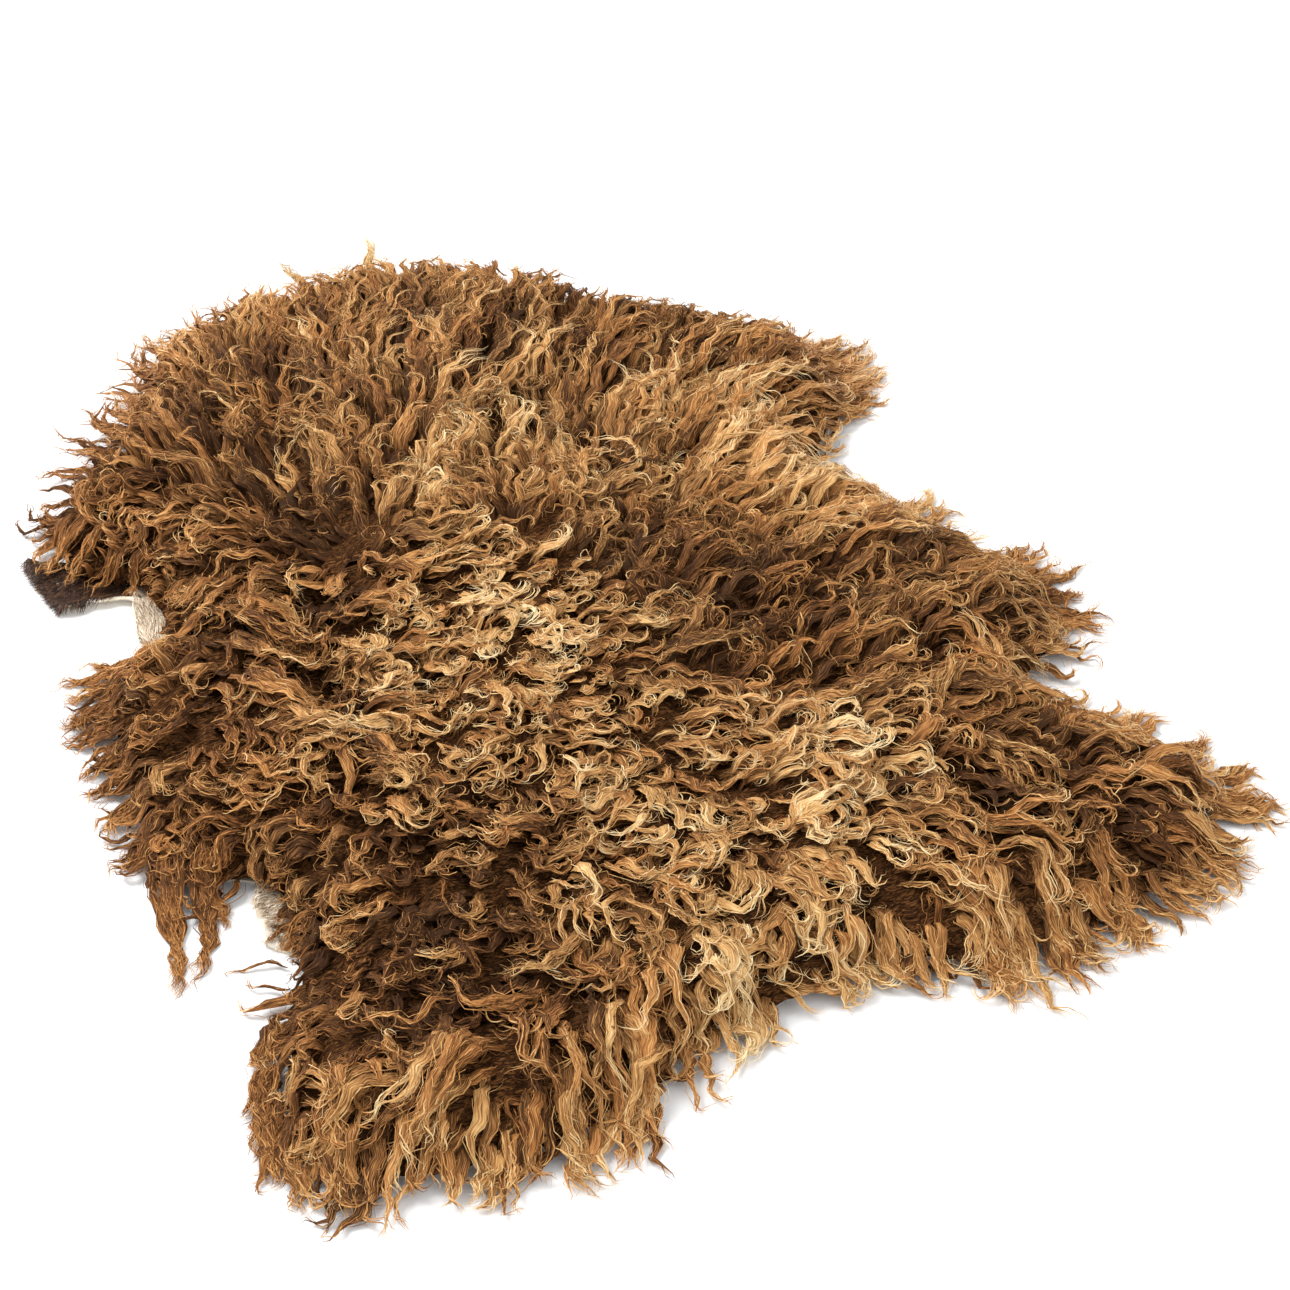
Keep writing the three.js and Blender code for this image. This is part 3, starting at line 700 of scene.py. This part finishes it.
def wavy_offsets(strands):
    """How far each point of the strands lies beside its staple's middle line, and how far above it."""
    of, each, share, kind = strands.of, strands.each, strands.share, strands.kind
    grade = 0.35 + 0.9 * share
    turns = 2 * math.pi * share * of("length")
    wave = turns / (WAVE_LENGTH * (0.7 + 0.6 * of("random"))) + 2 * of("phase")
    shift = WAVE_SIZE * grade * np.sin(wave)
    lift = 0.5 * WAVE_SIZE * grade * np.cos(wave)
    phase = turns / of("crimp") + of("phase") + rng.normal(0, 0.25, len(share))[:, None]
    shift = shift + kind["crimp"] * of("size") * grade * np.sin(phase)
    lift = lift + 0.7 * kind["crimp"] * of("size") * grade * np.cos(phase)
    own = 2 * math.pi * (share * of("length") / OWN_WAVE_LENGTH * each(0.7, 1.4) + each(0, 1))
    stray = kind["stray"] * of("stray")
    shift = shift + kind["own_wave"] * np.sin(own) + stray * each(-1, 1) * share ** 3
    lift = lift + kind["own_wave"] * 0.7 * np.cos(own) + stray * each(-0.3, 1) * share ** 3
    last = np.clip((share - TIP_CURL_START) / (1 - TIP_CURL_START), 0, 1)
    twist = 2 * math.pi * each(0.3, 1) * last ** 1.2
    tip_curl = kind["tip_curl"] * each(-1.3, 1.3) * mix(0.6, 1.1, of("stand"))
    shift = shift + tip_curl * (1 - np.cos(twist))
    lift = lift + np.abs(tip_curl) * np.sin(twist)
    frizz = rng.normal(0, 1, (2, *share.shape)) * kind["frizz"] * share
    return shift + frizz[0], lift + frizz[1]


def ribbons(strands, middle, side, above, shift, lift):
    """Flat tapering strands round the bundle: points, distance across, and how far inside or under the
    bundle they lie, which darkens them as painted shade.
    """
    each, grown, kind = strands.each, strands.grown, strands.kind
    outward = each(*kind["outward"])
    around = each(-0.1, 1.1) * math.pi + each(-0.9, 0.9) * strands.share
    shift = shift + strands.bundle * outward * np.cos(around)
    lift = lift + strands.bundle * outward * np.sin(around) * BUNDLE_FLATNESS
    points = middle + side * shift[..., None] + above * lift[..., None]
    run = unit(np.gradient(points, axis=1))
    facing = unit(above * 0.8 + side * (np.cos(around) * 0.7)[..., None])
    taper = (0.55 + 0.45 * np.sin(math.pi * np.minimum(grown * 1.6, 1) / 2)) * (1 - grown ** 3) + 0.06
    half = kind["half_width"] * each(0.6, 1.35) * taper
    edge = np.cross(run, facing) * half[..., None]
    points = np.stack([points - edge, points + edge], axis=2)
    # Strands low on the bundle get a value that darkens them as painted shade
    return points, np.stack([-half, half], axis=2), 0.3 * (1 - np.clip(np.sin(around), 0, 1))


def bodies(strands, middle, side, above, shift, lift):
    """The rounded tops of the staples, with the same three values."""
    grown, shape = strands.grown, strands.share.shape
    taper = np.sqrt(np.clip(1 - grown ** 4, 0, 1)) * np.minimum(0.4 + grown * 2, 1) + 0.03
    radius = strands.bundle * taper * rng.uniform(0.8, 1.2, shape)
    angles = np.radians(CORE_ANGLES)
    columns = []
    for angle in angles:
        out = shift - radius * math.cos(angle)
        up = lift + radius * (math.sin(angle) * BUNDLE_FLATNESS - 0.1)
        columns.append(middle + side * out[..., None] + above * up[..., None])
    across = strands.bundle[..., None] * (angles - math.pi / 2)
    # The body lies inside its strands: its fixed value darkens it as painted shade
    return np.stack(columns, axis=2), across, np.full(shape, 0.45)


def tone_of(strands, strand, inside):
    """How pale each point is: paler to the tip, from the wool's own golden tips and from painted shade on
    the deep roots, with painted light on top of a tuft and painted shade low in it, at its edges, in hollows
    and inside the bundle.
    """
    of, share = strands.of, strands.share
    # Paler to the tip: the wool's own golden tips, and painted shade on the deep roots
    tone = mix(*TONE_AT_ROOT, of("contrast")) + mix(*TONE_TO_TIP, of("contrast")) * share ** 1.7
    tone = tone + TONE_OF_STAPLE * (of("random") - 0.5)
    tone = tone + TONE_OF_STRAND * (strand - 0.5) * (inside < 0.4)
    # Painted shade inside the bundle and at the edges of a tuft
    tone = tone + PAINTED_SHADE_INSIDE * inside + PAINTED_SHADE_AT_TUFT_EDGE * (of("outer") - 0.6)
    # Painted shade in hollows, and painted light on staples on top of a tuft with painted shade on low ones
    tone = tone + PAINTED_SHADE_IN_HOLLOW * of("hollow") + PAINTED_LIGHT_ON_TOP * (of("rank") - 0.35)
    return tone + of("light") + strands.kind["light"]


def strands_of(staples, lines, kind):
    """Points of one kind of strand, (strand, station, column, xyz), and the values that colour them."""
    strands = Strands(staples, kind)
    middle = along_lines(lines, strands.staple, strands.share)
    tangent = unit(np.gradient(middle, axis=1))
    side = unit(np.cross(np.array([0.0, 0.0, 1.0]), tangent))
    above = np.cross(tangent, side)
    shift, lift = wavy_offsets(strands)
    strand = strands.each(0, 1)
    form = ribbons if kind["half_width"] else bodies
    points, across, inside = form(strands, middle, side, above, shift, lift)
    points[..., 2] = np.maximum(under_ceiling(points[..., 2]), FLOOR_CLEARANCE)
    values = {
        "tone": tone_of(strands, strand, inside),
        "strand": strand,
        "gold": strands.of("gold"),
        "red": strands.of("red"),
        "run": strands.share * strands.of("length") / MM,
        "across": across / MM,
    }
    return points, {key: over_points(value, points) for key, value in values.items()}


def over_points(value, points):
    """A value of each strand, station or point as one value for each point."""
    return np.broadcast_to(value if value.ndim == 3 else value[..., None], points.shape[:3])


# Meshes


def cell_corners(grid):
    """The four corners of each cell of a grid, in order round the cell."""
    return [grid[..., :-1, :-1], grid[..., :-1, 1:], grid[..., 1:, 1:], grid[..., 1:, :-1]]


def mesh_of(name, points, faces):
    """A smooth mesh from arrays of points and of four-cornered faces."""
    mesh = bpy.data.meshes.new(name)
    mesh.vertices.add(len(points))
    mesh.vertices.foreach_set("co", np.ascontiguousarray(points, dtype=np.float32).ravel())
    mesh.loops.add(faces.size)
    mesh.loops.foreach_set("vertex_index", faces.ravel().astype(np.int32))
    mesh.polygons.add(len(faces))
    mesh.polygons.foreach_set("loop_start", np.arange(len(faces), dtype=np.int32) * 4)
    mesh.polygons.foreach_set("use_smooth", np.ones(len(faces), dtype=bool))
    mesh.update(calc_edges=True)
    return mesh


def add_bake_map(mesh, faces, uv):
    """The OFBake map of the mesh, from one place for each point."""
    layer = mesh.uv_layers.new(name="OFBake")
    layer.data.foreach_set("uv", uv[faces.ravel()].astype(np.float32).ravel())


def strand_mesh(name, points, values):
    """One mesh of strands, with its values on its points and a cell of the bake map for each strand."""
    count, stations, columns = points.shape[:3]
    index = np.arange(count * stations * columns).reshape(count, stations, columns)
    faces = np.stack(cell_corners(index), axis=-1).reshape(-1, 4)
    mesh = mesh_of(name, points.reshape(-1, 3), faces)
    for key, value in values.items():
        attribute = mesh.attributes.new(key, "FLOAT", "POINT")
        attribute.data.foreach_set("value", value.ravel().astype(np.float32))
    wide = math.ceil(math.sqrt(count * 1.6))
    high = math.ceil(count / wide)
    cell = np.arange(count)[:, None, None]
    u = (cell % wide + np.linspace(0.12, 0.88, columns)[None, None, :]) / wide
    v = (cell // wide + np.linspace(0.06, 0.94, stations)[None, :, None]) / high
    add_bake_map(mesh, faces, np.stack(np.broadcast_arrays(u, v), axis=-1).reshape(-1, 2))
    return mesh


def add_piece(name, mesh, material, slot, *nodes):
    piece = bpy.data.objects.new(name, mesh)
    bpy.context.scene.collection.objects.link(piece)
    mesh.materials.append(material)
    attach(piece, "root")
    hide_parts(*nodes)
    return piece


def make_wool(grids, material):
    """The staples as joined meshes: their bodies, fine strands, curled tips and loose fibres."""
    staples = make_staples(grids)
    locks = lock_staples()
    staples = {key: np.concatenate([value, locks[key]]) for key, value in staples.items()}
    lines = middle_lines(staples, grids)
    for kind in (CORE, FINE, TIP, LOOSE):
        points, values = strands_of(staples, lines, kind)
        for i, chosen in enumerate(np.array_split(np.arange(len(points)), kind["meshes"])):
            name = f"{kind['name']}_{i + 1}"
            mesh = strand_mesh(name, points[chosen], {key: value[chosen] for key, value in values.items()})
            add_piece(name, mesh, material, "fleece", "fleece")


def make_under_wool(grids, material):
    """The dense wool between the locks, darkened partly with painted shade: the fleece's own form, sunk a
    little.
    """
    surface, depth = grids["surface"], grids["depth"]
    stride = max(1, round(UNDER_WOOL_CELL / CELL))
    cell = stride * CELL
    values = depth.values[::stride, ::stride]
    rows, columns = values.shape
    x = surface.low[0] + np.arange(columns)[None, :] * cell + np.zeros((rows, 1))
    y = surface.low[1] + np.arange(rows)[:, None] * cell + np.zeros((1, columns))
    # Points just outside the rim are drawn in to it, so that the edge isn't stepped
    slope_y, slope_x = np.gradient(values, cell)
    short = np.clip(UNDER_WOOL_RIM - values, 0, 1.3 * cell) / np.maximum(slope_x ** 2 + slope_y ** 2, 0.3)
    x, y = x + short * slope_x, y + short * slope_y
    top = surface.at(x, y) - UNDER_WOOL_DEPTH * smooth_share(values, -0.03, 0.03)
    top = np.maximum(top + UNDER_WOOL_LUMPS * ripple(x, y, 12 * MM, 9), UNDER_WOOL_LOWEST)
    inside, near = values > UNDER_WOOL_RIM, values > UNDER_WOOL_RIM - 1.5 * cell
    kept = np.any(cell_corners(inside), axis=0) & np.all(cell_corners(near), axis=0)
    index = np.arange(rows * columns).reshape(rows, columns)
    faces = np.stack([corner[kept] for corner in cell_corners(index)], axis=1)
    used, faces = np.unique(faces, return_inverse=True)
    faces = faces.reshape(-1, 4)
    points = np.stack([x.ravel(), y.ravel(), top.ravel()], axis=1)[used]
    mesh = mesh_of("under_wool", points, faces)
    level = points[:, :2] - points[:, :2].min(0)
    add_bake_map(mesh, faces, level / level.max())
    add_piece("under_wool", mesh, material, "fleece", "fleece")


def make_hide(node, material):
    """The tanned skin: the solid's own sheet in finer faces, a little uneven where it curls up."""
    sheet = bmesh.new()
    sheet.from_mesh(node.data)
    for _ in range(4):
        long_edges = [edge for edge in sheet.edges if edge.calc_length() > HIDE_CELL]
        bmesh.ops.subdivide_edges(sheet, edges=long_edges, cuts=1, use_grid_fill=True)
        bmesh.ops.triangulate(sheet, faces=[face for face in sheet.faces if len(face.verts) > 3])
    for vertex in sheet.verts:
        x, y = vertex.co.x, vertex.co.y
        raised = min(1, max(0, (vertex.co.z - 4 * MM) / (6 * MM)))
        vertex.co.z += raised * HIDE_UNEVEN * ripple(x, y, 11 * MM, 21)
        # leg is 1 on the bare end of the left foreleg and 0 elsewhere
        leg = smooth_share(-x, 0.335, 0.365) * smooth_share(y, 0.09, 0.13) * smooth_share(-y, -0.27, -0.23)
        vertex.co.x += HIDE_EDGE_WANDER * ripple(x, y, 15 * MM, 22)
        vertex.co.y += HIDE_EDGE_WANDER * ripple(x, y, 15 * MM, 23) + LEG_FORWARD * leg
        vertex.co.z *= 1 - LEG_FLATTENED * leg
    mesh = bpy.data.meshes.new("skin")
    sheet.to_mesh(mesh)
    sheet.free()
    mesh.polygons.foreach_set("use_smooth", np.ones(len(mesh.polygons), dtype=bool))
    mesh.materials.clear()
    piece = add_piece("skin", mesh, material, "hide", "hide")
    return piece


def make_hair(name, corners, count, heading, spread, length, half_width, wave, tree, material):
    """Short hairs over the patch of hide between four corners, lying on the skin."""
    a, b, c, d = np.array(corners, dtype=float) * MM
    u, v = rng.uniform(0, 1, (2, count, 1))
    roots = mix(mix(a, b, u), mix(d, c, u), v)
    angle = np.radians(heading + rng.normal(0, spread, count) + 12 * ripple(*roots.T, 20 * MM, 31))
    grown = np.linspace(0, 1, HAIR_STATIONS)[None, :]
    reach = length * MM * rng.uniform(0.6, 1.1, count)[:, None] * grown
    sway = wave * MM * np.sin(2 * math.pi * reach / HAIR_WAVE_LENGTH + rng.uniform(0, 2, count)[:, None])
    x = roots[:, :1] + reach * np.cos(angle)[:, None] - sway * np.sin(angle)[:, None]
    y = roots[:, 1:] + reach * np.sin(angle)[:, None] + sway * np.cos(angle)[:, None]
    z = np.zeros(x.shape)
    kept = np.ones(count, dtype=bool)
    for i in range(count):
        for k in range(HAIR_STATIONS):
            height = height_at(tree, x[i, k], y[i, k])
            if height is None:
                height = max(z[i, max(k - 1, 0)] - HAIR_DROOP, FLOOR_CLEARANCE)
                kept[i] &= k > 0
            z[i, k] = height
    z = z + (0.4 + 1.6 * np.sin(math.pi * grown * 0.8) * rng.uniform(0.4, 1.2, count)[:, None]) * MM
    points = np.stack([x, y, z], axis=-1)
    run = unit(np.gradient(points, axis=1))
    half = half_width * MM * (1.05 - grown ** 2)
    edge = unit(np.cross(run, np.array([0.0, 0.0, 1.0]))) * half[..., None]
    points = np.stack([points - edge, points + edge], axis=2)[kept]
    values = {
        "tone": over_points(rng.uniform(0, 1, count)[kept][:, None], points),
        "along": over_points(grown, points),
    }
    add_piece(name, strand_mesh(name, points, values), material, "fleece", "hide")


# Finishes


class Finish:
    """A new material with one principled shader, and short ways to put nodes in front of it."""

    def __init__(self, name):
        self.material = bpy.data.materials.new(name)
        self.material.use_nodes = True
        self.nodes = self.material.node_tree.nodes
        self.links = self.material.node_tree.links
        self.nodes.clear()
        output = self.nodes.new("ShaderNodeOutputMaterial")
        self.shader = self.nodes.new("ShaderNodeBsdfPrincipled")
        self.links.new(self.shader.outputs["BSDF"], output.inputs["Surface"])

    def fill(self, node, values):
        """Sets the inputs of a node to numbers and colours, or links them to other nodes."""
        for name, value in values.items():
            if isinstance(value, bpy.types.NodeSocket):
                self.links.new(value, node.inputs[name])
            else:
                node.inputs[name].default_value = value

    def shaded(self, values):
        """The material, with its shader's inputs filled."""
        self.fill(self.shader, values)
        return self.material

    def add(self, kind, output, values, **settings):
        """A new node's output, with the node's inputs filled."""
        node = self.nodes.new(kind)
        for name, value in settings.items():
            setattr(node, name, value)
        self.fill(node, values)
        return node.outputs[output]

    def place(self):
        return self.add("ShaderNodeTexCoord", "Object", {})

    def attribute(self, name):
        return self.add("ShaderNodeAttribute", "Fac", {}, attribute_name=name)

    def maths(self, operation, *values):
        return self.add("ShaderNodeMath", 0, dict(enumerate(values)), operation=operation)

    def noise(self, place, scale, detail, **values):
        inputs = {"Vector": place, "Scale": scale, "Detail": detail, **values}
        return self.add("ShaderNodeTexNoise", "Fac", inputs)

    def ramp(self, factor, stops):
        output = self.add("ShaderNodeValToRGB", "Color", {"Fac": factor})
        elements = output.node.color_ramp.elements
        while len(elements) < len(stops):
            elements.new(0.5)
        for element, (place, colour) in zip(elements, stops):
            element.position = place
            element.color = (*colour, 1)
        return output

    def mixed(self, factor, first, second):
        """One colour turning into another."""
        return self.add("ShaderNodeMix", 2, {0: factor, 6: first, 7: second}, data_type="RGBA")

    def bump(self, height, strength, distance):
        values = {"Height": height, "Strength": strength, "Distance": distance}
        return self.add("ShaderNodeBump", "Normal", values)


def wool_finish():
    """Brown, golden and reddish wool with fibres along each strand, as pale as its tone says, and streaks of
    painted shade between the fibres.
    """
    finish = Finish("wool")
    strand = finish.attribute("strand")
    run = finish.attribute("run")
    turn = finish.maths("MULTIPLY_ADD", run, 0.5, finish.maths("MULTIPLY", strand, 6.0))
    fibre_place = finish.add("ShaderNodeCombineXYZ", 0, {
        "X": finish.maths("MULTIPLY_ADD", finish.maths("SINE", turn), 0.7, finish.attribute("across")),
        "Y": finish.maths("MULTIPLY", run, 0.06),
        "Z": finish.maths("MULTIPLY", strand, 90.0),
    })
    fibres = finish.noise(fibre_place, 1.35, 3, Roughness=0.6)
    patches = finish.noise(finish.place(), 60, 3)
    factor = finish.maths("ADD", finish.attribute("tone"), finish.maths("MULTIPLY_ADD", patches, 0.3, -0.15))
    # Fibre streaks: pale fibres, and painted shade in the dark gaps between them
    factor = finish.maths("ADD", factor, finish.maths("MULTIPLY_ADD", fibres, 1.75, -0.87))
    brown = finish.ramp(factor, BROWN_WOOL)
    golden = finish.ramp(factor, GOLDEN_WOOL)
    reddish = finish.ramp(factor, REDDISH_WOOL)
    colour = finish.mixed(finish.attribute("gold"), brown, golden)
    return finish.shaded({
        "Base Color": finish.mixed(finish.attribute("red"), colour, reddish),
        "Normal": finish.bump(fibres, 0.7, 0.8 * MM),
        "Roughness": 0.6,
        "Specular IOR Level": 0.15,
        "Specular Tint": (1.0, 0.78, 0.5, 1),
    })


def under_wool_and_shade_finish():
    """Matted wool, streaky across the skin, dark partly in its own colour and partly as painted shade."""
    finish = Finish("under_wool")
    stretched = finish.add("ShaderNodeMapping", 0, {"Vector": finish.place(), "Scale": (110, 420, 200)})
    matted = finish.noise(stretched, 1, 4, Distortion=1.8)
    return finish.shaded({
        "Base Color": finish.ramp(matted, UNDER_WOOL_AND_SHADE),
        "Normal": finish.bump(matted, 1, 2 * MM),
        "Roughness": 0.9,
        "Specular IOR Level": 0.05,
    })


def hide_finish():
    """Cloudy cream suede with a fine grain."""
    finish = Finish("hide")
    cloudy = finish.noise(finish.place(), 45, 5)
    grain = finish.noise(finish.place(), 900, 3)
    return finish.shaded({
        "Base Color": finish.ramp(cloudy, SUEDE),
        "Normal": finish.bump(grain, 0.5, 0.4 * MM),
        "Roughness": finish.maths("MULTIPLY_ADD", grain, 0.25, 0.65),
        "Specular IOR Level": 0.25,
    })


def hair_finish(name, stops, specular):
    """Short hair, paler towards the tip, each hair a little different."""
    finish = Finish(name)
    along = finish.maths("MULTIPLY_ADD", finish.attribute("along"), 0.45, -0.1)
    tone = finish.maths("MULTIPLY_ADD", finish.attribute("tone"), 0.6, along)
    return finish.shaded({
        "Base Color": finish.ramp(tone, stops),
        "Roughness": 0.5,
        "Specular IOR Level": specular,
    })


# Camera, floor and light


def aimed(name, data, place, aim):
    """A camera or lamp at a place, turned to face another."""
    thing = bpy.data.objects.new(name, data)
    bpy.context.scene.collection.objects.link(thing)
    thing.location = place
    thing.rotation_euler = (Vector(aim) - Vector(place)).to_track_quat("-Z", "Y").to_euler()
    return thing


def make_camera():
    data = bpy.data.cameras.new("camera")
    data.sensor_width = SENSOR
    data.lens = SENSOR * FOCAL_PIXELS / FRAME_PIXELS
    data.clip_end = 50
    bpy.context.scene.camera = aimed("camera", data, CAMERA_PLACE, CAMERA_AIM)


def make_floor():
    corners = [(-1, -1), (1, -1), (1, 1), (-1, 1)]
    points = np.array([(FLOOR_HALF * x, FLOOR_HALF * y, -FLOOR_DROP) for x, y in corners])
    mesh = mesh_of("floor", points, np.array([[0, 1, 2, 3]]))
    mesh.materials.append(Finish("floor").shaded({"Base Color": (0.9, 0.9, 0.9, 1), "Roughness": 0.9}))
    floor = bpy.data.objects.new("floor", mesh)
    bpy.context.scene.collection.objects.link(floor)


def make_light():
    world = bpy.data.worlds.new("world")
    world.use_nodes = True
    background = world.node_tree.nodes["Background"]
    background.inputs["Color"].default_value = (1, 1, 1, 1)
    background.inputs["Strength"].default_value = SKY_STRENGTH
    bpy.context.scene.world = world
    for name, place, size, power in LAMPS:
        data = bpy.data.lights.new(name, "AREA")
        data.size = size
        data.energy = power
        aimed(name, data, place, (0, 0, 0))
    bpy.context.scene.view_settings.view_transform = "Standard"


def main():
    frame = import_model()
    make_camera()
    grids = read_fleece(frame["nodes"]["fleece"])
    make_under_wool(grids, under_wool_and_shade_finish())
    make_wool(grids, wool_finish())
    skin_tree = surface_tree(make_hide(frame["nodes"]["hide"], hide_finish()))
    dark_hair = hair_finish("dark_hair", DARK_HAIR, 0.2)
    pale_hair = hair_finish("pale_hair", PALE_HAIR, 0.3)
    for name, *patch in HAIR_PATCHES:
        make_hair(name, *patch, skin_tree, dark_hair if name.startswith("leg") else pale_hair)
    make_floor()
    make_light()


main()
